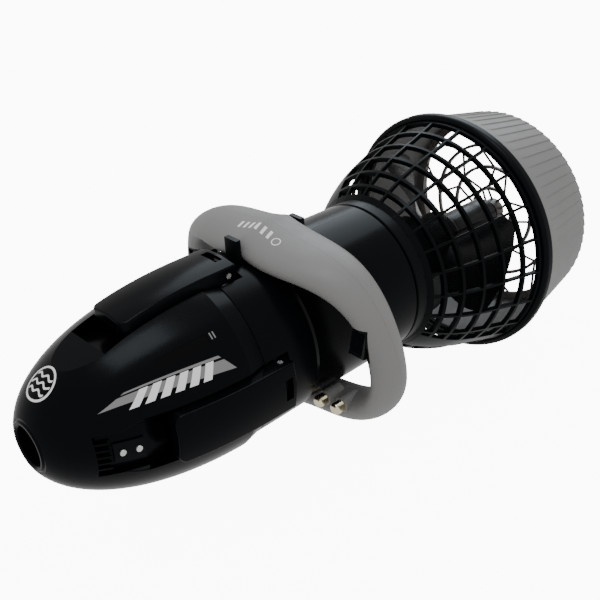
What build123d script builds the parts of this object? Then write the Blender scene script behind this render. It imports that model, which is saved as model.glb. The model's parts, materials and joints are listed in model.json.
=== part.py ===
"""Underwater scooter: a battery hull with a pull-off nose, a ring handle and a caged, ducted propeller.

Millimetres. X runs along the scooter's axis with the nose towards -X, -Y is port and +Z is up.
Pieces are drawn around the X axis and lifted by AXIS_Z when they are written,
so that the guard rim stands on Z = 0 and the origin is below the middle of the scooter.
"""
import os
from math import cos, pi, radians, sin

from build123d import *

# Driving dimensions
RIM_R = 135.0                   # outer radius of the guard rim, the widest round part
AXIS_Z = RIM_R                  # height of the scooter's axis above its lowest point
NOSE_TIP_X = -312.0            # where the nose's curve would close, ahead of its cut-off front
NOSE_FRONT_X = -307.5
TAIL_X = 312.0
RIM_X = 213.0                   # middle plane of the guard rim
SEAM_X = -124.0                 # joint between the nose and the hull
COLLAR_END_X = -63.0
NECK_X = 71.0                   # joint between the hull and the propeller guard
WALL = 3.5
GAP = 0.3                       # clearance between pieces on different bodies
FIT = 0.05                      # running clearance of a shaft or pin

# Hull
NOSE_R = 86.0
NOSE_MID_X = SEAM_X - 7.0       # where the nose is widest
NOSE_LENGTH = NOSE_MID_X - NOSE_TIP_X
NOSE_POWER = 2.15               # exponent of the nose's oval; 2 would be an ellipse
CREASE_X = -142.0               # from here the nose narrows to the seam
SEAM_R = 82.2
HULL_FRONT_R = 79.4
HULL_REAR_R = 78.0
SPIGOT_LENGTH = 16.0
COLLAR_SKIN = [
    (SEAM_X, SEAM_R - 0.8),
    (SEAM_X + 0.8, SEAM_R),
    (-93, SEAM_R - 0.4),
    (COLLAR_END_X - 4, SEAM_R - 1.0),
    (COLLAR_END_X, SEAM_R - 2.0),
]
SPIGOT_R = 68.0
SEAL_R = 68.9

BATTERY_HALF_WIDTH = 45.0

# Nose socket
SOCKET_R = 18.0
SOCKET_LENGTH = 12.0            # of the full-width bore, ahead of its shoulder
SOCKET_RIM_R = 23.0
SOCKET_CUP_R = 20.5
SOCKET_SEAT_X = NOSE_FRONT_X + 1.5
SOCKET_DEPTH = 26.0
TETHER_BAR_R = 3.0

# Latch arms, drawn on top and turned about the axis
LATCH_TURNS = {"top": 0.0, "port": 90.0, "starboard": -90.0}
SIDE_TURNS = (90.0, -90.0)
RECESS_DEPTH = 5.5
CATCH_SCREW_XS = (-258.0, -246.0)
WINDOW_TURN = 44.0
WINDOW_X = (-213.0, -165.0)
ARM_HALF_WIDTH = 23.0
ARM_PROUD = 8.5
ARM_TIP_X = -221.0
ARM_REAR_X = -103.0
ARM_UNDER_Z = 74.0
ARM_WALL = 3.2
ARM_EDGE_R = 1.8
PIN_X = -112.0
PIN_Z = 84.0
PIN_R = 2.5
CHANNEL_FLOOR_Z = 71.5
POCKET_FLOOR_Z = 60.0           # finger space under the tip of each arm
POCKET_FRONT_X = -240.0
FACET_FRONT = (-274.0, 56.5)    # X and Z of the flat facet ahead of the finger space
FACET_REAR_Z = 66.5
CHANNEL_HALF_WIDTH = 25.0
CHANNEL_REAR_X = -98.0
KNUCKLE_R = 5.6
KNUCKLE_HALF_WIDTH = 6.0

# Ring handle
RING_X = -28.0
RING_TILT = -8.0                # degrees about Y: the top of the ring leans towards the nose
RING_FOOT_Z = -103.5
RING_WALL = 3.0
# centre Y, centre Z, half thickness, half width along X and shift along X, down the port side from the top
RING_STATIONS = [
    (0.0, 95.5, 13.0, 33.5, -9.0),
    (50.0, 86.0, 13.0, 32.0, -7.0),
    (95.0, 71.0, 14.0, 24.0, -1.5),
    (121.5, 33.0, 15.5, 18.0, 1.0),
    (129.5, -3.0, 15.3, 17.5, 0.0),
    (122.5, -37.0, 14.0, 19.0, 0.0),
    (95.0, -63.5, 13.5, 20.5, 0.0),
    (53.5, -76.5, 13.5, 20.5, 0.0),
    (0.0, -88.5, 16.5, 21.0, 0.0),
]

STRAP_XS = ((-84.5, -13.0), (-39.0, 7.0))     # under the ring at the top and at the bottom
HANDLE_SCREW_STATIONS = (1, 5, 7)
SCREW_SEAT_X = 10.0             # the screw heads' seat behind the ring's middle plane

# Charging posts, on the ring's lower port side
POST_PLACES = ((-83.0, -60.0), (-60.5, -63.0))
POST_R = 6.0
POST_SHANK_R = 4.5
POST_BOSS_R = 7.5
POST_X = (-22.0, -40.0, -51.0)  # inner end, seat on the boss, and domed tip

# Triggers, given for port
TRIGGER_PIVOT = (-38.0, 33.5)   # X and Z of the pivot pin
TRIGGER_Y = (-122.0, -105.0)
TRIGGER_X = (-51.5, -33.0)
TRIGGER_FOOT_Z = 12.0
MAGNET_Y = (-118.0, -110.0)
MAGNET_Z = (15.0, 22.0)
TRIGGER_PIN_R = 1.5
TRIGGER_TRAVEL = 8.0            # degrees
HOUSING_X = (-55.0, -24.0)
HOUSING_Y = (-125.5, -103.0)
HOUSING_Z = (8.0, 42.0)

# Drive line
SHAFT_R = 5.0
MOTOR_R = 34.0
MOTOR_X = (56.0, 128.0)
TAIL_R = 41.0
TAIL_END_X = 161.0
HUB_R = 29.0
HUB_X = (162.5, 203.0)
BLADE_TIP_R = 104.0
BLADE_COUNT = 3
NUT_R = 20.5
NUT_END_X = 280.0

# Guard and duct
RIB_COUNT = 22
RIB_WIDTH = 2.4
RIB_DEPTH = 4.5
STRUT_WIDTHS = (30.0, 30.0, 36.0)   # at the neck, for each strut; all end narrower at the rim
STRUT_RIM_WIDTH = 15.0
GUARD_SCREW_TURNS = (165.0, 205.0, 255.0, 295.0)
HOOP_WIDTH = 2.8
HOOP_XS = (101.0, 118.0, 139.0, 162.0, 186.0)
GUARD_FRONT_X = 74.0
STRUT_TURNS = (137.0, 223.0, 312.0)
SHROUD_R = (131.0, 113.5)       # outer radius at the rim and at the tail
SHROUD_WALL = 4.0
GRILLE_X = 297.0
GRILLE_BAR = 3.4
GRILLE_RING_RS = (26.0, 52.0, 78.0, 105.0)
GRILLE_SPOKES = 10


def save(name, *shapes):
    """Writes one node, lifted so that the axis is AXIS_Z above the ground."""
    solids = [solid for shape in shapes for solid in shape.solids()]
    placed = [Pos(0, 0, AXIS_Z) * solid for solid in solids]
    export_step(placed[0] if len(placed) == 1 else Compound(children=placed), f"parts/{name}.step")


def lathe(*outline):
    """A solid of revolution about X from (x, radius) corners."""
    face = make_face(Polyline(*outline, close=True))
    return revolve(Plane.XZ * face, Axis.X, 360)


def tube(start, end, outer, inner=0.0):
    """A cylinder or tube along X."""
    return lathe((start, inner), (end, inner), (end, outer), (start, outer))


def block(x, y, z):
    """A box from its limits along each axis."""
    size = [high - low for low, high in (x, y, z)]
    middle = [(high + low) / 2 for low, high in (x, y, z)]
    return Pos(*middle) * Box(*size)


def side_plate(outline, half_width):
    """A plate from (x, z) corners, as thick as twice half_width across Y."""
    face = make_face(Polyline(*outline, close=True))
    return extrude(Plane.XZ * face, half_width, both=True)


def rod(start, end, radius):
    """A round bar between two points."""
    start, end = Vector(*start), Vector(*end)
    return extrude(Plane(start, z_dir=end - start) * Circle(radius), (end - start).length)


def turned(shape, turn):
    """The shape turned about the scooter's axis; 90 takes the top to port."""
    return Rot(turn, 0, 0) * shape


def mirrored(shape):
    """The starboard twin of a port shape."""
    return mirror(shape, Plane.XZ)


def nose_form(inset):
    """The nose's oval body, smaller by inset all round, run on past the seam."""
    length = NOSE_LENGTH - inset
    radius = NOSE_R - inset
    turns = [index * pi / 28 for index in range(15)]
    points = [(NOSE_MID_X - length * sin(a) ** (2 / NOSE_POWER), radius * cos(a) ** (2 / NOSE_POWER))
              for a in turns[:-1]]
    curve = Spline(*points, (NOSE_MID_X - length, 0), tangents=[(-1, 0), (0, -1)])
    run_on = Polyline((NOSE_MID_X - length, 0), (-60, 0), (-60, radius), (NOSE_MID_X, radius))
    return revolve(Plane.XZ * make_face([curve, run_on]), Axis.X, 360)


def nose_radius(x):
    """Radius of the nose's surface at x."""
    share = (NOSE_MID_X - x) / NOSE_LENGTH
    return NOSE_R * (1 - share ** NOSE_POWER) ** (1 / NOSE_POWER)


def nose_limit(inset):
    """What keeps the nose's casing between its cut-off front and the taper at its seam."""
    return lathe(
        (SOCKET_SEAT_X, 0), (SEAM_X, 0), (SEAM_X, SEAM_R - 0.8 - inset), (SEAM_X - 0.8, SEAM_R - inset),
        (CREASE_X, NOSE_R - inset), (CREASE_X, 200), (SOCKET_SEAT_X, 200),
    )


# ---- latches and the channels that they lie in


def channel(extra=0.0):
    """The space in the nose and collar that one latch arm lies in, with a facet ahead of its tip."""
    front_x, front_z = FACET_FRONT
    step_x = ARM_TIP_X + 11.0
    top = NOSE_R + 40
    outline = [
        (front_x, front_z - extra),
        (POCKET_FRONT_X - extra, FACET_REAR_Z - extra),
        (POCKET_FRONT_X - extra, POCKET_FLOOR_Z - extra),
        (step_x + extra, POCKET_FLOOR_Z - extra),
        (step_x + extra, CHANNEL_FLOOR_Z - extra),
        (CHANNEL_REAR_X + extra, CHANNEL_FLOOR_Z - extra),
        (CHANNEL_REAR_X + extra, top),
        (front_x, top),
    ]
    return side_plate(outline, CHANNEL_HALF_WIDTH + extra)


def channels(extra=0.0):
    """All the latch channels."""
    cut = [turned(channel(extra), turn) for turn in LATCH_TURNS.values()]
    return cut[0] + cut[1] + cut[2]


def latch_arm():
    """One latch lever: an inverted tray with a pivot at the rear and a hook under its tip."""
    outer = nose_form(-ARM_PROUD)
    plan = block((ARM_TIP_X, ARM_REAR_X), (-ARM_HALF_WIDTH, ARM_HALF_WIDTH), (ARM_UNDER_Z, NOSE_R + 40))
    plan = fillet(plan.edges().filter_by(Axis.Z).sort_by(Axis.X)[:2], 8.0)
    body = outer & plan
    top_edges = [e for e in body.edges() if e.bounding_box().min.Z > ARM_UNDER_Z + 1]
    body = fillet([e for e in top_edges if abs(e.center().X - NOSE_MID_X) > 1], ARM_EDGE_R)
    hollow_form = nose_form(ARM_WALL - ARM_PROUD)
    hollow_plan = block(
        (ARM_TIP_X + 16, ARM_REAR_X - 3.5),
        (-ARM_HALF_WIDTH + ARM_WALL, ARM_HALF_WIDTH - ARM_WALL),
        (ARM_UNDER_Z - 1, NOSE_R + 40),
    )
    body = body - (hollow_form & hollow_plan)
    window = block((PIN_X - 3.5, PIN_X + 4.5), (-10.5, 10.5), (PIN_Z, NOSE_R + 40))
    notch = block((PIN_X, ARM_REAR_X + 1), (-7.5, 7.5), (ARM_UNDER_Z - 1, PIN_Z + 6.5))
    bore = rod((PIN_X, -30, PIN_Z), (PIN_X, 30, PIN_Z), PIN_R + FIT)
    heel = block((PIN_X - 14, ARM_REAR_X + 1), (-30, 30), (ARM_UNDER_Z - 1, PIN_Z - 6))
    finger_lip = block((ARM_TIP_X - 1, ARM_TIP_X + 9), (-12, 12), (ARM_UNDER_Z - 1, ARM_UNDER_Z + 1.5))
    rib_xs = (-198.0, -176.0, -154.0, -134.0)
    ribs = [block((x, x + 2.2), (-20.5, 20.5), (ARM_UNDER_Z + 2, ARM_UNDER_Z + 6)) for x in rib_xs]
    body = body - window - notch - bore - heel - finger_lip
    for rib in ribs:
        body = body + rib
    return body


def latch_spring():
    """A torsion spring beside the knuckle, wound round the latch pin."""
    return wound_spring((PIN_X, -19.0, PIN_Z), (PIN_X, -11.0, PIN_Z), PIN_R + 0.3, 1.3)


def wound_spring(start, end, inner_radius, wire):
    """A close-wound spring's outline: a sleeve with one round bead for each turn of wire."""
    start, end = Vector(*start), Vector(*end)
    length = (end - start).length
    count = int(length // wire)
    pitch = length / count
    low, high = inner_radius, inner_radius + wire
    lines = [Line((0, low), (0, high - wire / 2))]
    for index in range(count):
        left, right = index * pitch, (index + 1) * pitch
        middle = ((left + right) / 2, high)
        lines.append(ThreePointArc((left, high - wire / 2), middle, (right, high - wire / 2)))
    lines.append(Polyline((length, high - wire / 2), (length, low), (0, low)))
    coil = revolve(Plane.XZ * make_face(lines), Axis.X, 360)
    return Plane(start, x_dir=end - start, z_dir=(0, 0, 1)).location * coil


# ---- nose


def nose_shell():
    """The nose casing, with latch channels, side recesses, a rear spigot and a seat for the socket."""
    back = SOCKET_SEAT_X + SOCKET_DEPTH
    outer = nose_form(0) & nose_limit(0)
    cavity = nose_form(WALL) & nose_limit(WALL) & tube(back, SEAM_X + 1, 200)
    cavity = cavity - channels(WALL)
    shell = outer - channels() - cavity
    for turn in SIDE_TURNS:
        shell = shell + (turned(catch_recess(WALL), turn) - turned(catch_recess(0.0), turn))
        shell = shell - turned(catch_recess(0.0), turn)
        for fin in recess_fins():
            shell = shell + turned(fin, turn)
        for x in CATCH_SCREW_XS:
            shell = shell - catch_screw(x, turn)
    flange = tube(SEAM_X - 6, SEAM_X, CHANNEL_FLOOR_Z - 1, SPIGOT_R - 3)
    web = tube(SEAM_X - 6, SEAM_X - 2.5, SEAM_R - 2, SPIGOT_R) - channels(WALL)
    spigot = tube(SEAM_X - 1, SEAM_X + SPIGOT_LENGTH, SPIGOT_R, SPIGOT_R - 3)
    spigot = spigot - tube(SEAM_X + 5, SEAM_X + 8, SPIGOT_R + 1, SPIGOT_R - 0.8)
    shell = shell + flange + web + spigot
    shell = shell - tube(NOSE_TIP_X - 5, back + 1, SOCKET_CUP_R)
    return shell - window_seat()


def catch_recess(extra):
    """The shallow recess ahead of a side latch, a constant depth below the nose's surface."""
    plan = block((-277 - extra, POCKET_FRONT_X), (-19 - extra, 19 + extra), (20, NOSE_R + 5))
    return plan & (nose_form(-1 if extra == 0 else 0.5) - nose_form(RECESS_DEPTH + extra))


def recess_fins():
    """Five grip fins along the front of a side recess."""
    band = nose_form(0.6) - nose_form(RECESS_DEPTH + 1)
    return [block((-277.5, -267), (y - 0.9, y + 0.9), (20, NOSE_R)) & band for y in (-12, -6, 0, 6, 12)]


def window_seat():
    """The space that the charge window fills, between the top and port latches."""
    sunk = block(WINDOW_X, (-4.5, 4.5), (60, NOSE_R + 5))
    return turned(sunk, WINDOW_TURN) & (nose_form(-1) - nose_form(1.8))


def charge_window():
    """A smoked strip set flush in the nose, over the charge lights."""
    return window_seat() & nose_form(0.4)


def nose_socket():
    """The rim and cup at the tip that an accessory or a tether clips into."""
    back = SOCKET_SEAT_X + SOCKET_DEPTH
    shoulder = NOSE_FRONT_X + 1.5 + SOCKET_LENGTH
    cup = lathe(
        (NOSE_FRONT_X + 1.5, SOCKET_R),
        (shoulder, SOCKET_R),
        (shoulder, SOCKET_R - 1.5),
        (back - 3, SOCKET_R - 1.5),
        (back - 3, 0),
        (back, 0),
        (back, SOCKET_CUP_R),
        (SOCKET_SEAT_X, SOCKET_CUP_R),
        (SOCKET_SEAT_X, SOCKET_RIM_R),
        (NOSE_FRONT_X, SOCKET_RIM_R - 1.5),
        (NOSE_FRONT_X, SOCKET_R + 1.5),
    )
    bar = tether_bar()
    return cup - bar


def tether_bar():
    """The bar across the socket that a lanyard clips to."""
    x = SOCKET_SEAT_X + 16.5
    return rod((x, 0, -SOCKET_R - 1.5), (x, 0, SOCKET_R + 1.5), TETHER_BAR_R)


def nose_seal():
    """The O-ring on the nose's spigot."""
    return tube(SEAM_X + 5, SEAM_X + 8, SEAL_R - 0.8, SPIGOT_R - 0.8) + tube(
        SEAM_X + 5.6, SEAM_X + 7.4, SEAL_R, SPIGOT_R - 0.8)


def ballast(index):
    """One trim weight in the bottom of the nose."""
    start = -214.0 + index * 36.0
    band = (nose_form(WALL + 0.01) - nose_form(WALL + 12)) & tube(start, start + 30, 200)
    return band & turned(block((-300, -100), (-22, 22), (40, 100)), 180.0)


def catch_plate(turn):
    """The striker that a side latch hooks on, in the recess ahead of the arm."""
    plate = block((-264, POCKET_FRONT_X - 1), (-9, 9), (30, NOSE_R))
    shape = plate & (nose_form(RECESS_DEPTH - 2) - nose_form(RECESS_DEPTH))
    shape = turned(shape, turn)
    for x in CATCH_SCREW_XS:
        shape = shape - catch_screw(x, turn)
    return shape


def catch_screw(x, turn):
    """A domed stainless screw in the catch plate."""
    z = nose_radius(x) - RECESS_DEPTH + 2.0
    shank = rod((x, 0, z - 6.0), (x, 0, z), 1.5)
    head = rod((x, 0, z - 0.6), (x, 0, z + 1.8), 3.0)
    head = fillet(head.faces().sort_by(Axis.Z)[-1].edges(), 1.0)
    return turned(shank + head, turn)


# ---- hull


def latch_collar():
    """The ring behind the nose joint that carries the latch pivots and the seal's seat."""
    outer = lathe(
        (SEAM_X, SEAM_R - WALL),
        *COLLAR_SKIN,
        (COLLAR_END_X, HULL_FRONT_R - WALL),
        (SEAM_X + SPIGOT_LENGTH + 6, HULL_FRONT_R - WALL),
        (SEAM_X + SPIGOT_LENGTH + 4, SEAM_R - WALL),
    )
    mouth = tube(SEAM_X, SEAM_X + SPIGOT_LENGTH + 2, CHANNEL_FLOOR_Z, SEAL_R + 0.1)
    end_wall = lathe(
        (SEAM_X + SPIGOT_LENGTH - 1, SEAL_R + 0.1),
        (SEAM_X + SPIGOT_LENGTH + 2, SEAL_R + 0.1),
        (SEAM_X + SPIGOT_LENGTH + 10, HULL_FRONT_R - 1),
        (SEAM_X + SPIGOT_LENGTH + 2, HULL_FRONT_R + 2),
        (SEAM_X + SPIGOT_LENGTH - 1, HULL_FRONT_R + 2),
    )
    body = outer + mouth + end_wall
    side = CHANNEL_HALF_WIDTH
    box = block((SEAM_X, CHANNEL_REAR_X + WALL), (-side - WALL, side + WALL), (60, NOSE_R))
    for turn in LATCH_TURNS.values():
        body = body + (turned(box, turn) & tube(SEAM_X, COLLAR_END_X, SEAM_R - 1, CHANNEL_FLOOR_Z - 1))
    body = body - channels()
    for turn in LATCH_TURNS.values():
        body = body + turned(knuckle(), turn)
        body = body - turned(rod((PIN_X, -40, PIN_Z), (PIN_X, 40, PIN_Z), PIN_R), turn)
    return body


def knuckle():
    """The lug in the channel that one latch pin passes through."""
    eye = rod((PIN_X, -KNUCKLE_HALF_WIDTH, PIN_Z), (PIN_X, KNUCKLE_HALF_WIDTH, PIN_Z), KNUCKLE_R)
    web = block(
        (PIN_X - KNUCKLE_R, PIN_X + KNUCKLE_R),
        (-KNUCKLE_HALF_WIDTH, KNUCKLE_HALF_WIDTH),
        (CHANNEL_FLOOR_Z - 1, PIN_Z),
    )
    return eye + web


def latch_pin():
    """One latch pivot pin."""
    return rod((PIN_X, -ARM_HALF_WIDTH - 0.8, PIN_Z), (PIN_X, ARM_HALF_WIDTH + 0.8, PIN_Z), PIN_R)


def hull_skin(offset):
    """The hull's (x, radius) line from the collar to the neck, moved out by offset."""
    return [(COLLAR_END_X, HULL_FRONT_R + offset), (NECK_X, HULL_REAR_R + offset)]


def hull_shell():
    """The long tube that holds the battery and the motor."""
    return lathe(
        *hull_skin(0),
        (NECK_X, HULL_REAR_R - WALL),
        (COLLAR_END_X, HULL_FRONT_R - WALL),
    )


def hull_liner():
    """The sleeve inside the collar joint that keeps the hull tube and the collar in line."""
    start = COLLAR_END_X - 22
    inner = HULL_FRONT_R - WALL
    return tube(start, COLLAR_END_X + 20, inner - 0.4, inner - 3.0)


def battery_tray():
    """A cradle for the battery, with end stops and side rails."""
    half = BATTERY_HALF_WIDTH
    floor = block((-90, 34), (-half - 3, half + 3), (-50, -47))
    rails = block((-90, 34), (-half - 3, -half - 0.2), (-47, -20))
    rails = rails + block((-90, 34), (half + 0.2, half + 3), (-47, -20))
    stop = block((31, 34), (-half - 3, half + 3), (-47, 10))
    return floor + rails + stop


def battery_pack():
    """The sealed battery."""
    case = block((-88, 30), (-BATTERY_HALF_WIDTH, BATTERY_HALF_WIDTH), (-46.8, 42))
    return fillet(case.edges().filter_by(Axis.X), 4.0)


def battery_terminals():
    """The battery's two blade terminals."""
    return [block((-76, -69), (y - 3.2, y + 3.2), (42, 49)) for y in (-30, 30)]


def battery_strap():
    """The strap over the battery that holds it in its tray."""
    side = BATTERY_HALF_WIDTH + 3.2
    outer = block((-40, -20), (-side - 2.5, side + 2.5), (-30, 44.7))
    inner = block((-41, -19), (-side, side), (-31, 42.2))
    return outer - inner


def bulkhead():
    """The wall between the battery and the motor."""
    disc = tube(38, 42, HULL_FRONT_R - WALL - 1.8)
    return disc - rod((37, 0, 52), (43, 0, 52), 6.0)


def cable_gland():
    """The sealed pass-through for the power leads."""
    body = rod((34, 0, 52), (46, 0, 52), 6.0)
    flange = rod((34, 0, 52), (38, 0, 52), 9.0)
    return body + flange


def control_board():
    """The speed and safety circuit, with its relay."""
    board = block((46, 47.6), (-36, 36), (-64, -38))
    relay = block((47.6, 61), (-30, -10), (-61, -46))
    chip = block((47.6, 52), (4, 16), (-60, -48))
    capacitor = rod((47.6, 26, -53), (61, 26, -53), 5.0)
    return board + relay + chip + capacitor


def board_posts():
    """Four posts that stand the board off the bulkhead."""
    return [rod((42, y, z), (46, y, z), 2.5) for y in (-32, 32) for z in (-60, -42)]


# ---- motor and drive line


def motor_can():
    """The motor's steel casing, open at the bearing seats."""
    start, end = MOTOR_X
    return lathe(
        (start, 11.0), (start, MOTOR_R), (end, MOTOR_R), (end, 11.0),
        (end - 3, 11.0), (end - 3, MOTOR_R - 2), (start + 3, MOTOR_R - 2), (start + 3, 11.0),
    )


def magnet(turn):
    """One of the motor's field magnets."""
    arc = tube(72, 118, MOTOR_R - 2, 27.5)
    keep = block((60, 130), (-24, 24), (0, 60))
    return turned(arc & keep, turn)


def brush(turn):
    """One carbon brush and its holder, against the commutator."""
    return turned(block((66, 72), (-2.5, 2.5), (10.4, 24)), turn)


def armature():
    """The wound rotor core and commutator."""
    core = tube(74, 116, 26.5, SHAFT_R)
    slots = [turned(block((73, 117), (-1.2, 1.2), (20, 30)), index * 30) for index in range(12)]
    for slot in slots:
        core = core - slot
    return core + tube(65, 74, 10.0, SHAFT_R)


def drive_shaft():
    """The shaft from the motor to the propeller, drilled for the shear pin."""
    return tube(MOTOR_X[0] - 4, 216, SHAFT_R) - shear_pin()


def shear_pin():
    """The pin that turns the propeller with the shaft and breaks first if it jams."""
    x = HUB_X[1] - 4.0
    return rod((x, 0, -14), (x, 0, 14), 1.6)


def bearing(start, width):
    """A ball bearing's outer envelope with running clearance on the shaft."""
    races = tube(start, start + width, 11.0, SHAFT_R + FIT)
    groove = tube(start + width - 0.6, start + width + 1, 9.2, 7.2)
    return races - groove


def shaft_seal():
    """The lip seal where the shaft leaves the tail housing."""
    return tube(TAIL_END_X - 9, TAIL_END_X - 3, 10.0, SHAFT_R + FIT)


def tail_housing():
    """The rear cover: a disc in the neck, and the tube that the motor's tail sits in."""
    wall = 3.0
    seal = 10.0
    body = lathe(
        (NECK_X - 8, HULL_REAR_R - WALL - 0.2),
        (NECK_X + 3, HULL_REAR_R - WALL - 0.2),
        (NECK_X + 3, HULL_REAR_R - 6),
        (88, 70),
        (90, TAIL_R + 5),
        (96, TAIL_R),
        (TAIL_END_X - 6, TAIL_R - 2),
        (TAIL_END_X, TAIL_R - 8),
        (TAIL_END_X, SHAFT_R + 1.5),
        (TAIL_END_X - 3, SHAFT_R + 1.5),
        (TAIL_END_X - 3, seal),
        (TAIL_END_X - 9, seal),
        (TAIL_END_X - 9, TAIL_R - 2 - wall),
        (96, TAIL_R - wall),
        (86, TAIL_R + 3),
        (85, 66),
        (NECK_X - 8, 68),
    )
    for turn in GUARD_SCREW_TURNS:
        body = body - guard_screw(turn)
    return body


def motor_mount():
    """The ring that holds the motor in the tail housing."""
    return tube(97.5, 106, TAIL_R - 3.5, MOTOR_R)


def blade_section(radius, chord, pitch, thickness):
    """A lens-shaped blade section at a radius, turned by its pitch from the propeller's plane."""
    half = chord / 2
    top = ThreePointArc((-half, 0), (0, thickness / 2), (half, 0))
    bottom = ThreePointArc((-half, 0), (0, -thickness / 2), (half, 0))
    middle_x = (HUB_X[0] + HUB_X[1]) / 2
    plane = Plane((middle_x, 0, radius), x_dir=(sin(radians(pitch)), cos(radians(pitch)), 0), z_dir=(0, 0, 1))
    return plane * make_face([top, bottom])


def blade():
    """One propeller blade."""
    sections = [
        blade_section(24.0, 44.0, 50.0, 6.5),
        blade_section(50.0, 86.0, 41.0, 5.0),
        blade_section(78.0, 102.0, 32.0, 4.0),
        blade_section(BLADE_TIP_R, 78.0, 26.0, 2.6),
    ]
    envelope = lathe(
        (TAIL_END_X + 1.5, 0), (HUB_X[1] + 12, 0), (HUB_X[1] + 12, BLADE_TIP_R - 1),
        (TAIL_END_X - 12, BLADE_TIP_R - 1), (TAIL_END_X - 12, TAIL_R + 6), (TAIL_END_X + 1.5, TAIL_R + 2),
    )
    return loft(sections) & envelope


def propeller():
    """The hub and its blades, with the first blade to port."""
    hub = tube(*HUB_X, HUB_R, SHAFT_R)
    hub = fillet(hub.edges().filter_by(GeomType.CIRCLE).sort_by(SortBy.RADIUS)[-2:], 2.5)
    body = hub
    for index in range(BLADE_COUNT):
        body = body + turned(blade(), 90 + index * 360 / BLADE_COUNT)
    return body - shear_pin() - tube(0, 300, SHAFT_R)


def propeller_nut():
    """The long blunt nut that holds the propeller on."""
    shaft_end = 216
    return lathe(
        (HUB_X[1], SHAFT_R), (shaft_end, SHAFT_R), (shaft_end, 0), (NUT_END_X, 0),
        (NUT_END_X, NUT_R - 3.0), (NUT_END_X - 0.8, NUT_R - 1.6), (NUT_END_X - 2.4, NUT_R - 0.6),
        (HUB_X[1] + 12, NUT_R), (HUB_X[1], NUT_R),
    )


# ---- guard, duct and grille


def guard_line(inset):
    """The bell line of the guard from its neck to the rim, as a curve in X and radius."""
    points = [(86, 79), (92, 84), (112, 96.5), (131, 105.5), (152, 112.5), (180, 120.5), (209, 129.5)]
    return Spline(*[(x, r - inset) for x, r in points])


def guard_band():
    """The bell of the guard as one closed wall, before it is cut into ribs and hoops."""
    outer, inner = guard_line(0), guard_line(RIB_DEPTH)
    ends = [Line(outer @ 0, inner @ 0), Line(outer @ 1, inner @ 1)]
    return revolve(Plane.XZ * make_face([outer, inner, *ends]), Axis.X, 360)


def strut(neck_width):
    """A slab above the axis that leaves one wide strut when it is cut to the guard's wall."""
    neck, rim = neck_width / 2, STRUT_RIM_WIDTH / 2
    plan = make_face(Polyline((60, neck), (95, neck), (165, rim), (220, rim),
                              (220, -rim), (165, -rim), (95, -neck), (60, -neck), close=True))
    return Pos(0, 0, 60) * extrude(plan, RIM_R - 45)


def guard_cage():
    """The bell of thin ribs and hoops, three wide struts, and the collar on the neck."""
    reach = (60, RIM_R + 15)
    rib = block((60, 220), (-RIB_WIDTH / 2, RIB_WIDTH / 2), reach)
    lattice = [turned(rib, (index + 0.5) * 360 / RIB_COUNT) for index in range(RIB_COUNT)]
    lattice += [turned(strut(width), turn) for turn, width in zip(STRUT_TURNS, STRUT_WIDTHS)]
    lattice += [tube(x - HOOP_WIDTH / 2, x + HOOP_WIDTH / 2, reach[1], reach[0]) for x in HOOP_XS]
    lattice.append(tube(203.5, 209.5, reach[1], reach[0]))
    cage = guard_band() & lattice[0].fuse(*lattice[1:])
    collar = lathe(
        (GUARD_FRONT_X, HULL_REAR_R - 1.0), (GUARD_FRONT_X + 1, HULL_REAR_R),
        (86, HULL_REAR_R + 0.6), (91, HULL_REAR_R + 5.5), (94, HULL_REAR_R + 2), (90, HULL_REAR_R - 4.5),
        (GUARD_FRONT_X, HULL_REAR_R - 4.5),
    )
    for turn in GUARD_SCREW_TURNS:
        collar = collar - guard_screw(turn)
    return cage + collar


def guard_rim():
    """The thick round bead at the guard's widest point."""
    bead = RIM_R - 4.6
    rim = Plane.XZ * (Pos(RIM_X, bead) * RectangleRounded(13.0, 9.2, 4.4))
    return revolve(rim, Axis.X, 360) - guard_band() - tube(200, 209.5, 129.6)


def shroud():
    """The tapering duct behind the rim."""
    front_r, rear_r = SHROUD_R
    start = RIM_X + 4.0
    wall = SHROUD_WALL
    return lathe(
        (start, front_r - 5.6), (start, front_r - 5.6 - wall), (TAIL_X - 2, rear_r - wall),
        (TAIL_X, rear_r - wall + 1.5), (TAIL_X, rear_r - 1.0), (TAIL_X - 1, rear_r),
        (RIM_X + 6.6, front_r), (RIM_X + 6.6, front_r - 5.6),
    )


def rear_grille():
    """Concentric rings and zigzag spokes across the duct's outlet, with a central boss."""
    half = GRILLE_BAR / 2
    grille = tube(GRILLE_X - 8, GRILLE_X + 4, 13.0)
    for radius in GRILLE_RING_RS:
        grille = grille + tube(GRILLE_X - half, GRILLE_X + half, radius + half, radius - half)
    radii = (11.0, *GRILLE_RING_RS)
    for index in range(GRILLE_SPOKES):
        for step in range(len(radii) - 1):
            lean = 360 / GRILLE_SPOKES / 2
            inner_turn = index * 2 * lean + (lean if (step + index) % 2 else 0)
            outer_turn = index * 2 * lean + (0 if (step + index) % 2 else lean)
            low, high = radii[step], radii[step + 1]
            start = (GRILLE_X, low * sin(radians(inner_turn)), low * cos(radians(inner_turn)))
            end = (GRILLE_X, high * sin(radians(outer_turn)), high * cos(radians(outer_turn)))
            grille = grille + rod(start, end, half * 0.8)
    wall_r = SHROUD_R[0] - 5.6 - SHROUD_WALL
    share = (GRILLE_X - RIM_X - 4) / (TAIL_X - 2 - RIM_X - 4)
    inside = wall_r + (SHROUD_R[1] - SHROUD_WALL - wall_r) * share
    rim = tube(GRILLE_X - 3, GRILLE_X + 3, inside - 0.4, GRILLE_RING_RS[-1])
    return grille + rim


def guard_screw(turn):
    """A pan-head screw that fixes the guard's collar to the tail housing."""
    x, seat = 80.0, HULL_REAR_R - 0.4
    head = rod((x, 0, seat), (x, 0, seat + 1.6), 3.2)
    shank = rod((x, 0, seat - 8.5), (x, 0, seat), 1.6)
    return turned(head + shank, turn)


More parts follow.
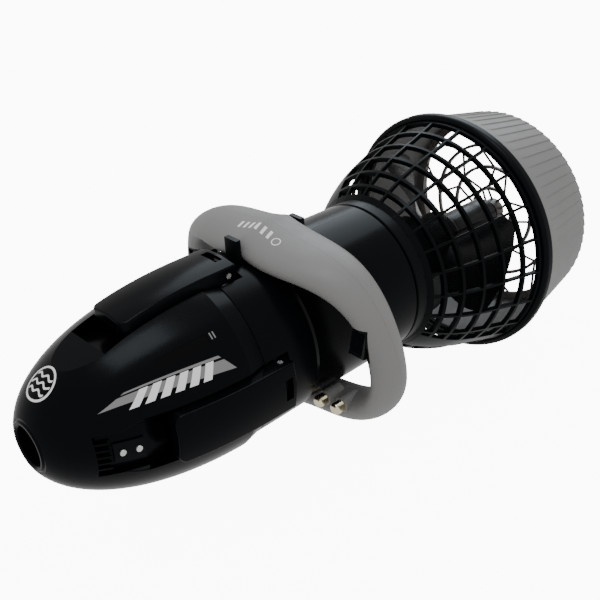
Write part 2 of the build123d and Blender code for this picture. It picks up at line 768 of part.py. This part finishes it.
# ---- ring handle


def ring_plane(index, side):
    """The section plane at a station; side is -1 for port."""
    y, z, _, _, shift = RING_STATIONS[index]
    before = RING_STATIONS[max(index - 1, 0)]
    after = RING_STATIONS[min(index + 1, len(RING_STATIONS) - 1)]
    along = Vector(0, side * (after[0] - before[0]), after[1] - before[1])
    if index in (0, len(RING_STATIONS) - 1):
        along = Vector(0, side if index == 0 else -side, 0)
    return Plane((shift, side * y, z), x_dir=(1, 0, 0), z_dir=along)


def ring_form(inset):
    """The ring's closed body, smaller by inset all round, in its tilted place."""
    last = len(RING_STATIONS) - 1
    order = [(1, 1), *[(index, -1) for index in range(last + 1)], (last - 1, 1)]
    sections = []
    for position, (index, side) in enumerate(order):
        plane = ring_plane(index, side)
        if position in (0, len(order) - 1):
            plane = Plane(plane.origin, x_dir=(1, 0, 0), z_dir=-plane.z_dir)
        _, _, thick, wide, _ = RING_STATIONS[index]
        sections.append(plane * Ellipse(wide - inset, thick - inset))
    half = loft(sections) & block((-100, 100), (-200, 0), (-200, 200))
    whole = half + mirrored(half)
    return in_ring(whole)


def in_ring(shape):
    """The shape moved from the ring's own upright place to its tilted one."""
    return Pos(RING_X, 0, 0) * Rot(0, RING_TILT, 0) * shape


def ring_shell():
    """The hollow ring, seated on the hull, flat under its foot, with its cut-outs."""
    form = ring_form(0)
    shell = form - ring_form(RING_WALL)
    for y, z in handle_screw_places():
        shell = shell + (form & in_ring(rod((-60, y, z), (60, y, z), 5.0)))
    for y, z in handle_screw_places():
        shell = shell - in_ring(handle_screw(y, z))
        shell = shell - in_ring(rod((SCREW_SEAT_X, y, z), (60, y, z), 3.7))
    for y, z in POST_PLACES:
        shell = shell + rod((POST_X[0] + 2, y, z), (POST_X[1], y, z), POST_BOSS_R)
    saddle = lathe((-93, 0), *saddle_line(), (60, 0))
    shell = shell - saddle
    foot = block((-200, 200), (-200, 200), (-200, RING_FOOT_Z))
    shell = shell - foot
    for window in (trigger_window(), mirrored(trigger_window())):
        shell = shell - window
    for y, z in POST_PLACES:
        shell = shell - rod((POST_X[0], y, z), (POST_X[1], y, z), POST_SHANK_R)
    return shell - strap_space()


def handle_screw_places():
    """The (y, z) places of the screws that join the two halves of the ring."""
    stations = [RING_STATIONS[index] for index in HANDLE_SCREW_STATIONS]
    return [(side * y, z) for side in (-1, 1) for y, z, *_ in stations]


def handle_screw(y, z):
    """A screw through the ring's two halves, in the ring's own upright place."""
    shank = rod((-14, y, z), (SCREW_SEAT_X, y, z), 1.6)
    head = rod((SCREW_SEAT_X, y, z), (SCREW_SEAT_X + 2.4, y, z), 3.2)
    return shank + head - rod((SCREW_SEAT_X + 1.0, y, z), (SCREW_SEAT_X + 3, y, z), 1.4)


def saddle_line():
    """The hull's outline with clearance, under the ring."""
    collar = [(x, r + GAP) for x, r in COLLAR_SKIN[2:]]
    return [*collar, (COLLAR_END_X, HULL_FRONT_R + GAP), (60, HULL_REAR_R + GAP + 0.1)]


def strap_space():
    """The room for the two mounting straps under the ring."""
    top = block((-110, 40), (-8.3, 8.3), (60, 84.3))
    bottom = block((-110, 60), (-8.3, 8.3), (-84.3, -60))
    return top + bottom


def ring_half(front):
    """The front or rear moulding of the ring, split on its own middle plane."""
    cutter = block((-200, -0.05), (-250, 250), (-250, 250))
    if not front:
        cutter = block((0.05, 200), (-250, 250), (-250, 250))
    return in_ring(cutter)


def handle_strap(front_x, rear_x, side):
    """A strap along the hull with a turned-up tab at each end that grips the ring."""
    skin = tube(front_x, rear_x, 84.0)
    skin = skin - lathe((-93, 0), *saddle_line(), (60, 0))
    strap = skin & block((front_x, rear_x), (-8, 8), (60, 90))
    front_tab = block((front_x - 5, front_x), (-8, 8), (82.6, 103))
    rear_tab = block((rear_x, rear_x + 5), (-8, 8), (79.4, 98))
    return turned(strap + front_tab + rear_tab, side)


def trigger_window():
    """The opening in the port side of the ring that the trigger housing fills."""
    return block(HOUSING_X, HOUSING_Y, HOUSING_Z)


def trigger_housing():
    """The walled pocket that a trigger swings in, flush with the ring."""
    x_wall, y_wall, z_wall = HOUSING_X[1] - 2.0, HOUSING_Y[0] + 2.5, 2.5
    pocket = block((-90, x_wall), (y_wall, HOUSING_Y[1] + 13), (HOUSING_Z[0] + z_wall, HOUSING_Z[1] - z_wall))
    outer = block(
        (HOUSING_X[0], HOUSING_X[1] - 0.05),
        (HOUSING_Y[0] + 0.05, HOUSING_Y[1]),
        (HOUSING_Z[0] + 0.05, HOUSING_Z[1] - 0.05),
    )
    shell = (outer - pocket) & ring_form(0.1)
    x, z = TRIGGER_PIVOT
    boss = rod((x, y_wall - 0.5, z), (x, y_wall + 0.4, z), 4.0)
    return (shell + boss) - rod((x, HOUSING_Y[0] + 1, z), (x, HOUSING_Y[1] + 3, z), TRIGGER_PIN_R)


def trigger():
    """The port trigger: a finger paddle that swings on a pin at its top."""
    x, z = TRIGGER_PIVOT
    y_low, y_high = TRIGGER_Y[0], TRIGGER_Y[1]
    outline = [
        (TRIGGER_X[0] + 5, z + 3.5), (TRIGGER_X[0] + 2.0, z - 8), (TRIGGER_X[0] + 0.5, z - 16),
        (TRIGGER_X[0] - 1.5, TRIGGER_FOOT_Z + 2), (TRIGGER_X[0] + 1.5, TRIGGER_FOOT_Z),
        (TRIGGER_X[1], TRIGGER_FOOT_Z), (TRIGGER_X[1], z - 4), (x + 4, z + 1), (x + 1.5, z + 4),
    ]
    face = make_face(Polyline(*outline, close=True))
    body = extrude(Plane.XZ * face, y_high - y_low)
    body = Pos(0, y_high, 0) * body if body.bounding_box().max.Y < 1 else Pos(0, y_low, 0) * body
    front_edges = [e for e in body.edges() if e.center().X < TRIGGER_X[0] + 3.5 and e.center().Z < z + 2]
    body = fillet(front_edges, 1.6)
    cavity = block((TRIGGER_X[1] - 6.0, TRIGGER_X[1] + 1), MAGNET_Y, MAGNET_Z)
    return body - rod((x, -150, z), (x, -100, z), TRIGGER_PIN_R + FIT) - cavity


def trigger_magnet():
    """The magnet in the back of the trigger that works the reed switch."""
    return block((TRIGGER_X[1] - 6.0, TRIGGER_X[1] - 1.0), MAGNET_Y, MAGNET_Z)


def trigger_pin():
    """The port trigger's pivot pin."""
    x, z = TRIGGER_PIVOT
    return rod((x, HOUSING_Y[0] + 1, z), (x, TRIGGER_Y[1], z), TRIGGER_PIN_R)


def reed_switch():
    """The sealed switch behind the trigger housing."""
    x = HOUSING_X[1]
    return rod((x + 3.0, -121.5, 11), (x + 3.0, -121.5, 33), 2.2)


def trigger_spring():
    """The torsion spring round the trigger's pin, outside the housing wall."""
    x, z = TRIGGER_PIVOT
    return wound_spring((x, TRIGGER_Y[1] + 0.2, z), (x, TRIGGER_Y[1] + 2.0, z), TRIGGER_PIN_R, 0.9)


def charging_post(y, z):
    """A domed metal contact that stands forward from the lower port side of the ring."""
    base_x, seat_x, tip_x = POST_X
    head = rod((seat_x, y, z), (tip_x, y, z), POST_R)
    head = fillet(head.faces().sort_by(Axis.X)[0].edges(), 3.5)
    return head + rod((base_x, y, z), (seat_x, y, z), POST_SHANK_R)


def main():
    os.makedirs("parts", exist_ok=True)

    save("nose_shell", nose_shell())
    save("charge_window", charge_window())
    save("nose_socket", nose_socket())
    save("tether_bar", tether_bar())
    save("nose_seal", nose_seal())
    save("ballast_weights", ballast(0), ballast(1))
    save("catch_plates", *[catch_plate(turn) for turn in SIDE_TURNS])
    save("catch_screws", *[catch_screw(x, turn) for turn in SIDE_TURNS for x in CATCH_SCREW_XS])

    for name, turn in LATCH_TURNS.items():
        save(f"latch_arm_{name}", turned(latch_arm(), turn))
    save("latch_pins", *[turned(latch_pin(), turn) for turn in LATCH_TURNS.values()])
    save("latch_springs", *[turned(latch_spring(), turn) for turn in LATCH_TURNS.values()])

    save("latch_collar", latch_collar())
    save("hull_shell", hull_shell())
    save("hull_liner", hull_liner())
    save("battery_tray", battery_tray())
    save("battery_pack", battery_pack())
    save("battery_terminals", *battery_terminals())
    save("battery_strap", battery_strap())
    save("bulkhead", bulkhead())
    save("cable_gland", cable_gland())
    save("control_board", control_board())
    save("board_posts", *board_posts())

    save("tail_housing", tail_housing())
    save("motor_can", motor_can())
    save("motor_magnets", magnet(0), magnet(180))
    save("motor_brushes", brush(90), brush(270))
    save("motor_mount", motor_mount())
    save("front_bearing", bearing(MOTOR_X[0], 8.0))
    save("rear_bearing", bearing(MOTOR_X[1] - 3.0, 8.0))
    save("shaft_seal", shaft_seal())
    save("armature", armature())
    save("drive_shaft", drive_shaft())
    save("propeller", propeller())
    save("shear_pin", shear_pin())
    save("propeller_nut", propeller_nut())

    save("guard_screws", *[guard_screw(turn) for turn in GUARD_SCREW_TURNS])
    save("guard_cage", guard_cage())
    save("guard_rim", guard_rim())
    save("shroud", shroud())
    save("rear_grille", rear_grille())

    shell = ring_shell()
    save("handle_front_shell", shell & ring_half(True))
    save("handle_rear_shell", shell & ring_half(False))
    save("handle_screws", *[in_ring(handle_screw(y, z)) for y, z in handle_screw_places()])
    save("handle_straps", handle_strap(*STRAP_XS[0], 0.0), handle_strap(*STRAP_XS[1], 180.0))
    save("trigger_housings", trigger_housing(), mirrored(trigger_housing()))
    save("trigger_pins", trigger_pin(), mirrored(trigger_pin()))
    save("trigger_port", trigger())
    save("trigger_starboard", mirrored(trigger()))
    save("trigger_magnet_port", trigger_magnet())
    save("trigger_magnet_starboard", mirrored(trigger_magnet()))
    save("reed_switches", reed_switch(), mirrored(reed_switch()))
    save("trigger_springs", trigger_spring(), mirrored(trigger_spring()))
    save("charging_posts", *[charging_post(y, z) for y, z in POST_PLACES])


if __name__ == "__main__":
    main()
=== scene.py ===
"""Looks for an underwater scooter: materials, fine mesh pieces, light and camera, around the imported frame.

Metres, in the frame's own axes: X runs along the scooter with the nose towards -X, -Y is port and +Z is up.
"""
import json
import math

import bmesh
import bpy
from mathutils import Matrix, Vector


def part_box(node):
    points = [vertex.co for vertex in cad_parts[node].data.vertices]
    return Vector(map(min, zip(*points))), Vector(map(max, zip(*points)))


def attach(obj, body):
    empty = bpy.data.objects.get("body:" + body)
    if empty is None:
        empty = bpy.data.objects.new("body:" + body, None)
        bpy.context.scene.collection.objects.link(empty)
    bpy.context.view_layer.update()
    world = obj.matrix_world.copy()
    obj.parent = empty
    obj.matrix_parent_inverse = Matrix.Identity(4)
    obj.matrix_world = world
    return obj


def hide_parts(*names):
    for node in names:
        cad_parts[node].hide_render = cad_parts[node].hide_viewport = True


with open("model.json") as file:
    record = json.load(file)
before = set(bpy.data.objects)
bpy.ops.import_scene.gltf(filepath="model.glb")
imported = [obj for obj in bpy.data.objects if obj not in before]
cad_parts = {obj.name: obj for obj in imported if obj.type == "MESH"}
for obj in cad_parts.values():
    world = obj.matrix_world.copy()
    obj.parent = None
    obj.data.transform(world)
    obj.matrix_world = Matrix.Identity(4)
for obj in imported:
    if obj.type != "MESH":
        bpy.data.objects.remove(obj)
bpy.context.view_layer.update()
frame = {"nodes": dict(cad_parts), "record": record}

# Measures taken from the frame
RIM_LOW, RIM_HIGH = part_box("guard_rim")
AXIS_Z = (RIM_LOW.z + RIM_HIGH.z) / 2
NOSE_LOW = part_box("nose_shell")[0]
SHROUD_LOW, SHROUD_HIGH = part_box("shroud")


# ---- materials


def new_material(name):
    """An empty node material with a Principled shader; returns the material, its nodes and the shader."""
    material = bpy.data.materials.new(name)
    material.use_nodes = True
    return material, material.node_tree, material.node_tree.nodes["Principled BSDF"]


def noise_node(tree, scale, detail=4.0, roughness=0.55, stretch=(1.0, 1.0, 1.0)):
    """Noise in the object's own coordinates, in cycles per metre, stretched along an axis if asked."""
    place = tree.nodes.new("ShaderNodeTexCoord")
    mapping = tree.nodes.new("ShaderNodeMapping")
    mapping.inputs["Scale"].default_value = stretch
    texture = tree.nodes.new("ShaderNodeTexNoise")
    texture.inputs["Scale"].default_value = scale
    texture.inputs["Detail"].default_value = detail
    texture.inputs["Roughness"].default_value = roughness
    tree.links.new(place.outputs["Object"], mapping.inputs["Vector"])
    tree.links.new(mapping.outputs["Vector"], texture.inputs["Vector"])
    return texture


def ramp(tree, source, low, high, start=0.35, end=0.65):
    """A two-stop colour ramp driven by a value."""
    node = tree.nodes.new("ShaderNodeValToRGB")
    node.color_ramp.elements[0].position = start
    node.color_ramp.elements[1].position = end
    node.color_ramp.elements[0].color = low
    node.color_ramp.elements[1].color = high
    tree.links.new(source, node.inputs["Fac"])
    return node


def spread(tree, source, low, high):
    """A value from 0 to 1 mapped to a range."""
    node = tree.nodes.new("ShaderNodeMapRange")
    node.inputs["To Min"].default_value = low
    node.inputs["To Max"].default_value = high
    tree.links.new(source, node.inputs["Value"])
    return node


def bump(tree, source, strength, distance, normal=None):
    """A bump from a height, in metres, on top of another normal if one is given."""
    node = tree.nodes.new("ShaderNodeBump")
    node.inputs["Strength"].default_value = strength
    node.inputs["Distance"].default_value = distance
    tree.links.new(source, node.inputs["Height"])
    if normal is not None:
        tree.links.new(normal, node.inputs["Normal"])
    return node


def shade(color, factor):
    """A colour made lighter or darker, with full alpha."""
    return (*[min(1.0, channel * factor) for channel in color[:3]], 1.0)


def plastic(name, color, roughness, grain=0.15, coat=0.0, variation=0.12, specular=0.5, grain_scale=1400.0):
    """Moulded plastic: slow colour drift, uneven gloss, and a fine moulded grain."""
    material, tree, shader = new_material(name)
    drift = noise_node(tree, 9.0, detail=3.0)
    tint = ramp(tree, drift.outputs["Fac"], shade(color, 1 - variation), shade(color, 1 + variation))
    tree.links.new(tint.outputs["Color"], shader.inputs["Base Color"])
    wear = noise_node(tree, 60.0, detail=6.0, roughness=0.65)
    gloss = spread(tree, wear.outputs["Fac"], roughness * 0.75, roughness * 1.25)
    tree.links.new(gloss.outputs["Result"], shader.inputs["Roughness"])
    skin = noise_node(tree, grain_scale, detail=2.0)
    fine = bump(tree, skin.outputs["Fac"], grain, 0.0001)
    wave = noise_node(tree, 26.0, detail=1.0)
    slow = bump(tree, wave.outputs["Fac"], 0.08, 0.002, fine.outputs["Normal"])
    tree.links.new(slow.outputs["Normal"], shader.inputs["Normal"])
    shader.inputs["Coat Weight"].default_value = coat
    shader.inputs["Coat Roughness"].default_value = 0.08
    shader.inputs["Specular IOR Level"].default_value = specular
    return material


def metal(name, color, roughness, brushed=(1.0, 1.0, 1.0), grain=0.1):
    """Turned or plated metal with fine directional marks."""
    material, tree, shader = new_material(name)
    drift = noise_node(tree, 40.0, detail=3.0)
    tint = ramp(tree, drift.outputs["Fac"], shade(color, 0.85), shade(color, 1.1))
    tree.links.new(tint.outputs["Color"], shader.inputs["Base Color"])
    marks = noise_node(tree, 900.0, detail=3.0, stretch=brushed)
    gloss = spread(tree, marks.outputs["Fac"], roughness * 0.7, roughness * 1.4)
    tree.links.new(gloss.outputs["Result"], shader.inputs["Roughness"])
    lines = bump(tree, marks.outputs["Fac"], grain, 0.00005)
    tree.links.new(lines.outputs["Normal"], shader.inputs["Normal"])
    shader.inputs["Metallic"].default_value = 1.0
    return material


MATERIALS = {
    "hull_gloss": plastic("hull_gloss", (0.0012, 0.0016, 0.0024), 0.2, grain=0.03, specular=0.05),
    "guard_black": plastic("guard_black", (0.0016, 0.0024, 0.0030), 0.3, grain=0.1, specular=0.06),
    "trim_gray": plastic("trim_gray", (0.200, 0.196, 0.193), 0.5, grain=0.2, variation=0.03, specular=0.2),
    "grille_gray": plastic("grille_gray", (0.13, 0.115, 0.105), 0.45, grain=0.1, variation=0.1),
    "propeller_black": plastic("propeller_black", (0.0025, 0.003, 0.004), 0.26, grain=0.06, specular=0.25),
    "smoked_window": plastic("smoked_window", (0.001, 0.001, 0.0015), 0.12, grain=0.0, specular=0.06),
    "steel": metal("steel", (0.62, 0.61, 0.60), 0.25),
    "black_screw": metal("black_screw", (0.03, 0.03, 0.032), 0.4),
    "contact_metal": metal("contact_metal", (0.74, 0.66, 0.46), 0.2, brushed=(8.0, 1.0, 1.0)),
    "seal_rubber": plastic("seal_rubber", (0.01, 0.01, 0.01), 0.75, grain=0.4, specular=0.3),
    "cast_weight": metal("cast_weight", (0.16, 0.16, 0.165), 0.6, grain=0.5),
    "battery_case": plastic("battery_case", (0.03, 0.032, 0.036), 0.5),
    "board_green": plastic("board_green", (0.012, 0.08, 0.03), 0.35),
    "motor_steel": metal("motor_steel", (0.42, 0.42, 0.43), 0.35),
    "copper_brass": metal("copper_brass", (0.62, 0.42, 0.24), 0.35),
    "mark_white": plastic("mark_white", (0.85, 0.85, 0.85), 0.5, grain=0.05, variation=0.03, specular=0.1),
    "mark_gray": plastic("mark_gray", (0.22, 0.22, 0.22), 0.5, grain=0.05, variation=0.06, specular=0.1),
}


def dress_cad_nodes():
    """Gives every CAD node its slot's material."""
    for row in frame["record"]["subparts"]:
        node = frame["nodes"][row["node"]]
        node.data.materials.clear()
        node.data.materials.append(MATERIALS[row["material_slot"]])


dress_cad_nodes()
# The strikers are black, so that only their screws shine
frame["nodes"]["catch_plates"].material_slots[0].material = MATERIALS["guard_black"]


# ---- mesh helpers


def add_piece(name, points, faces, material, body, sharp_angle):
    """A mesh piece from points and faces, smooth but for its sharp edges, that rides on a body."""
    mesh = bpy.data.meshes.new(name)
    mesh.from_pydata([tuple(point) for point in points], [], faces)
    work = bmesh.new()
    work.from_mesh(mesh)
    bmesh.ops.recalc_face_normals(work, faces=work.faces)
    limit = math.radians(sharp_angle)
    for face in work.faces:
        face.smooth = True
    for edge in work.edges:
        if len(edge.link_faces) == 2 and edge.calc_face_angle() > limit:
            edge.smooth = False
    work.to_mesh(mesh)
    work.free()
    mesh.materials.append(MATERIALS[material])
    piece = bpy.data.objects.new(name, mesh)
    bpy.context.scene.collection.objects.link(piece)
    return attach(piece, body)


def ring_grid(rows, columns, point_at):
    """Points and quads of a surface that closes on itself both ways."""
    points = [point_at(row, column) for row in range(rows) for column in range(columns)]
    faces = []
    for row in range(rows):
        after = (row + 1) % rows
        for column in range(columns):
            beside = (column + 1) % columns
            faces.append((
                row * columns + column,
                row * columns + beside,
                after * columns + beside,
                after * columns + column,
            ))
    return points, faces


def on_axis(x, radius, turn):
    """A point at a radius from the scooter's axis; turn is in degrees from the top towards port."""
    angle = math.radians(turn)
    return Vector((x, -radius * math.sin(angle), AXIS_Z + radius * math.cos(angle)))


# ---- duct


FLUTE_COUNT = 68
FLUTE_DEPTH = 0.0011
FLUTE_SHARES = (0.0, 0.04, 0.08, 0.3, 0.55, 0.8)     # where each flute has a lengthwise edge
DUCT_WALL = 0.004
DUCT_TAPER = 0.0175                                  # how much smaller the outlet's radius is


def flute_share(share):
    """How deep a flute is at a share of its width: a short step, then a long slope back up."""
    step = 0.08
    return share / step if share < step else 1 - (share - step) / (1 - step)


def add_duct():
    """The tapering gray duct with its shallow lengthwise flutes and serrated outlet edge."""
    front, rear = SHROUD_LOW.x, SHROUD_HIGH.x
    front_r = (SHROUD_HIGH.y - SHROUD_LOW.y) / 2
    rear_r = front_r - DUCT_TAPER
    length = rear - front

    def cone(x):
        return front_r + (rear_r - front_r) * (x - front) / length

    outside = [(front + 0.0022, 0.0), (front + 0.006, 0.0), (front + 0.016, 0.35), (front + 0.026, 1.0)]
    outside += [(front + length * share, 1.0) for share in (0.45, 0.65, 0.85)]
    outside += [(rear - 0.0016, 1.0)]
    profile = [(x, cone(x), depth) for x, depth in outside]
    profile += [(rear - 0.0004, cone(rear) - 0.0004, 1.0), (rear, cone(rear) - 0.0012, 0.9)]
    profile += [(rear - 0.0003, rear_r - 0.0026, 0.3), (rear - 0.002, rear_r - DUCT_WALL, 0.0)]
    for share in (0.7, 0.4):
        x = front + length * share
        profile.append((x, cone(x) - DUCT_WALL - 0.0002, 0.0))
    profile += [(front, front_r - 0.0096, 0.0), (front, front_r - 0.0056, 0.0)]
    profile.append((front + 0.0021, front_r - 0.001, 0.0))

    def point_at(row, column):
        x, radius, depth = profile[row]
        flute, part = divmod(column, len(FLUTE_SHARES))
        turn = (flute + FLUTE_SHARES[part]) * 360 / FLUTE_COUNT
        return on_axis(x, radius - depth * FLUTE_DEPTH * flute_share(FLUTE_SHARES[part]), turn)

    points, faces = ring_grid(len(profile), FLUTE_COUNT * len(FLUTE_SHARES), point_at)
    duct = add_piece("fluted_duct", points, faces, "trim_gray", "hull", sharp_angle=24.0)
    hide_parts("shroud")


# ---- marks on the nose and on the ring's pad


SEAM_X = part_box("latch_collar")[0].x
NOSE_MID_X = SEAM_X - 0.007
NOSE_LENGTH = 0.181                     # of the whole oval, before its front is cut off
NOSE_POWER = 2.15                       # exponent of the oval; 2 would be an ellipse
NOSE_R = AXIS_Z - NOSE_LOW.z
MARK_LIFT = 0.00012
MARK_SINK = -0.0002
SLOPE_STEP = 0.0005
EMBLEM_PLACE = (-0.2845, -3.0)          # X, and turn in degrees from the top towards port
EMBLEM_R = 0.0155
# Low and high lines, each from front to back, of the side band and of its bars, as (X, turn)
BAND_LINES = (((-0.267, 54.0), (-0.153, 65.4)), ((-0.244, 49.0), (-0.1645, 54.8)))
BAR_LINES = (((-0.246, 60.5), (-0.172, 65.5)), ((-0.236, 51.5), (-0.168, 56.3)))


def nose_radius(x):
    """The nose's radius at x."""
    share = min(0.999, max(0.0, (NOSE_MID_X - x) / NOSE_LENGTH))
    return NOSE_R * (1 - share ** NOSE_POWER) ** (1 / NOSE_POWER)


def nose_slope(x):
    """How fast the nose's radius grows with x."""
    return (nose_radius(x + SLOPE_STEP) - nose_radius(x - SLOPE_STEP)) / (2 * SLOPE_STEP)


def on_skin(x, turn, lift):
    """A point on the nose's skin, lifted off it."""
    slope = nose_slope(x)
    out = lift / math.hypot(1, slope)
    return on_axis(x - slope * out, nose_radius(x) + out, turn)


def between(lines):
    """Places (along, up), each from 0 to 1, between a low and a high line on the nose."""
    def place(along, up, lift):
        low, high = [
            [start + (end - start) * along for start, end in zip(*line)]
            for line in lines
        ]
        return on_skin(low[0] + (high[0] - low[0]) * up, low[1] + (high[1] - low[1]) * up, lift)
    return place


def on_nose(middle):
    """Places (u, v) on the nose's skin: u metres back and v metres round towards port from (x, turn)."""
    def place(u, v, lift):
        x, turn = middle
        steps = 12
        for _ in range(steps):
            x += u / steps / math.hypot(1, nose_slope(x))
        return on_skin(x, turn + math.degrees(v / nose_radius(x)), lift)
    return place


def on_ring(middle):
    """Places (u, v) on the top of the ring handle: u metres back and v metres to starboard from (x, y)."""
    shells = [frame["nodes"][name] for name in ("handle_front_shell", "handle_rear_shell")]

    def place(u, v, lift):
        start = Vector((middle[0] + u, middle[1] + v, 0.4))
        best = Vector((start.x, start.y, 0.0))
        for shell in shells:
            inverse = shell.matrix_world.inverted()
            found, point, normal, _ = shell.ray_cast(inverse @ start, inverse.to_3x3() @ Vector((0, 0, -1)))
            point = shell.matrix_world @ point
            if found and point.z > best.z:
                best = point + (shell.matrix_world.to_3x3() @ normal).normalized() * lift
        return best
    return place


def skin_patch(name, place, rows, material, body, closed=False, lift=MARK_LIFT):
    """A thin closed sheet on a curved skin from rows of (u, v) points; closed joins each row's ends."""
    columns = len(rows[0])
    top = [place(u, v, lift) for row in rows for u, v in row]
    bottom = [place(u, v, MARK_SINK) for row in rows for u, v in row]
    count = len(top)
    last = columns if closed else columns - 1
    faces = []
    for row in range(len(rows) - 1):
        for column in range(last):
            a, b = row * columns + column, row * columns + (column + 1) % columns
            quad = (a, b, b + columns, a + columns)
            faces.append(quad)
            faces.append(tuple(count + index for index in reversed(quad)))
    first_row = list(range(columns))
    last_row = [(len(rows) - 1) * columns + column for column in first_row]
    if closed:
        edges = [first_row + first_row[:1], last_row + last_row[:1]]
    else:
        left = [row * columns for row in range(len(rows))]
        right = [row * columns + columns - 1 for row in range(len(rows))]
        edges = [first_row, last_row, left, right]
    for edge in edges:
        for here, there in zip(edge, edge[1:]):
            faces.append((here, there, count + there, count + here))
    return add_piece(name, top + bottom, faces, material, body, sharp_angle=50.0)


def bar_rows(start, end, low, high, lean=0.0, columns=24, rows=6):
    """Rows of a bar between two u values and two v values; lean moves its high edge along u."""
    grid = []
    for row in range(rows):
        share = row / (rows - 1)
        v = low + (high - low) * share
        grid.append([(start + lean * share + (end - start) * column / (columns - 1), v)
                     for column in range(columns)])
    return grid


def circle_rows(radius, width, middle=(0.0, 0.0), count=40):
    """Two rows round a circular band."""
    turns = [2 * math.pi * index / count for index in range(count)]
    return [[(middle[0] + r * math.cos(a), middle[1] + r * math.sin(a)) for a in turns]
            for r in (radius, radius - width)]


def wave_rows(level, half_width, thick, count=24):
    """Two rows along a gentle wave, for the emblem."""
    rows = []
    for side in (-0.5, 0.5):
        line = []
        for index in range(count):
            v = -half_width + 2 * half_width * index / (count - 1)
            line.append((level + side * thick + 0.0013 * math.sin(v * 620), v))
        rows.append(line)
    return rows


def add_marks():
    """A round wave emblem, slanted stripes on the port side, and plain bars on the ring's pad."""
    emblem = on_nose(EMBLEM_PLACE)
    skin_patch("emblem_ring", emblem, circle_rows(EMBLEM_R, 0.0019), "mark_white", "nose", closed=True)
    for index, level in enumerate((-0.0065, 0.0, 0.0065)):
        half_width = math.sqrt((EMBLEM_R - 0.0032) ** 2 - level ** 2)
        skin_patch(f"emblem_wave_{index}", emblem, wave_rows(level, half_width, 0.002), "mark_white", "nose")

    band = between(BAND_LINES)
    skin_patch("side_band", band, bar_rows(0.0, 1.0, 0.0, 0.70), "mark_gray", "nose")
    skin_patch("side_line", band, bar_rows(0.0, 1.0, 0.84, 1.0, rows=3), "mark_gray", "nose")
    for index in range(6):
        start = index * 0.165
        rows = bar_rows(start, start + 0.105, 0.0, 1.0, lean=0.04, columns=5)
        skin_patch(f"side_bar_{index}", between(BAR_LINES), rows, "mark_white", "nose", lift=2 * MARK_LIFT)
    for index in range(2):
        rows = bar_rows(-0.1625 + index * 0.003, -0.1613 + index * 0.003, 41.5, 45.5, columns=3)
        skin_patch(f"window_mark_{index}", on_skin, rows, "mark_gray", "nose")

    pad = on_ring((-0.0575, 0.004))
    for index in range(6):
        start = -0.0225 + index * 0.0078
        rows = [[(-0.0045 + 0.001 * step, start + 0.00025 * step + across) for step in range(10)]
                for across in (0.0, 0.0011, 0.0021, 0.0032)]
        skin_patch(f"pad_bar_{index}", pad, rows, "mark_white", "hull", lift=2 * MARK_LIFT)
    ring = circle_rows(0.0045, 0.001, middle=(-0.002, -0.0305), count=24)
    skin_patch("pad_ring", pad, ring, "mark_white", "hull", closed=True, lift=2 * MARK_LIFT)


add_duct()
add_marks()


# ---- camera, light and floor


def add_camera():
    """A camera above the port bow, looking down along the scooter."""
    eye = Vector((-0.5265, -0.5782, 0.5867))
    aim = Vector((-0.0068, 0.0050, 0.1398))
    roll = math.radians(-2.9)
    data = bpy.data.cameras.new("camera")
    data.lens = 55.05
    data.sensor_width = 36.0
    camera = bpy.data.objects.new("camera", data)
    bpy.context.scene.collection.objects.link(camera)
    turn = (aim - eye).to_track_quat("-Z", "Y").to_matrix().to_4x4()
    camera.matrix_world = Matrix.Translation(eye) @ turn @ Matrix.Rotation(roll, 4, "Z")
    bpy.context.scene.camera = camera


def add_area(name, place, aim, size, power, color=(1.0, 1.0, 1.0)):
    """A rectangular soft light."""
    data = bpy.data.lights.new(name, "AREA")
    data.shape = "RECTANGLE"
    data.size, data.size_y = size
    data.energy = power
    data.color = color
    light = bpy.data.objects.new(name, data)
    bpy.context.scene.collection.objects.link(light)
    light.location = place
    light.rotation_euler = (Vector(aim) - Vector(place)).to_track_quat("-Z", "Y").to_euler()
    return light


def add_floor():
    """A wide white floor just under the scooter, which doesn't show in its glossy skins."""
    mesh = bpy.data.meshes.new("floor")
    side = 6.0
    corners = [(-side, -side, 0), (side, -side, 0), (side, side, 0), (-side, side, 0)]
    mesh.from_pydata(corners, [], [(0, 1, 2, 3)])
    floor = bpy.data.objects.new("floor", mesh)
    bpy.context.scene.collection.objects.link(floor)
    floor.location.z = -0.0005
    material, tree, shader = new_material("floor_white")
    cloud = noise_node(tree, 3.0)
    tint = ramp(tree, cloud.outputs["Fac"], (0.96, 0.96, 0.96, 1), (0.99, 0.99, 0.99, 1))
    tree.links.new(tint.outputs["Color"], shader.inputs["Base Color"])
    shader.inputs["Roughness"].default_value = 0.9
    shader.inputs["Specular IOR Level"].default_value = 0.1
    shader.inputs["Emission Color"].default_value = (1.0, 1.0, 1.0, 1)
    shader.inputs["Emission Strength"].default_value = 10.0
    mesh.materials.append(material)
    floor.visible_diffuse = False
    floor.visible_glossy = False


def add_light():
    """A white room, a soft box overhead, and two boxes that only glossy skins reflect."""
    world = bpy.data.worlds.new("studio")
    world.use_nodes = True
    background = world.node_tree.nodes["Background"]
    background.inputs["Color"].default_value = (1.0, 1.0, 1.0, 1)
    background.inputs["Strength"].default_value = 1.0
    bpy.context.scene.world = world
    add_area("overhead", (0.2, 0.3, 1.6), (0, 0, 0.1), (1.6, 1.6), 3)
    for name, place, aim, side, power in (
        ("nose_glint", (-0.2, -0.15, 1.7), (-0.2, 0, 0.2), 0.7, 14),
        ("hull_glint", (1.0, 0.62, 1.17), (0.04, 0, 0.2), 1.2, 20),
    ):
        glint = add_area(name, place, aim, (side, side), power, color=(0.8, 0.92, 1.0))
        glint.visible_diffuse = False


add_camera()
add_light()
add_floor()
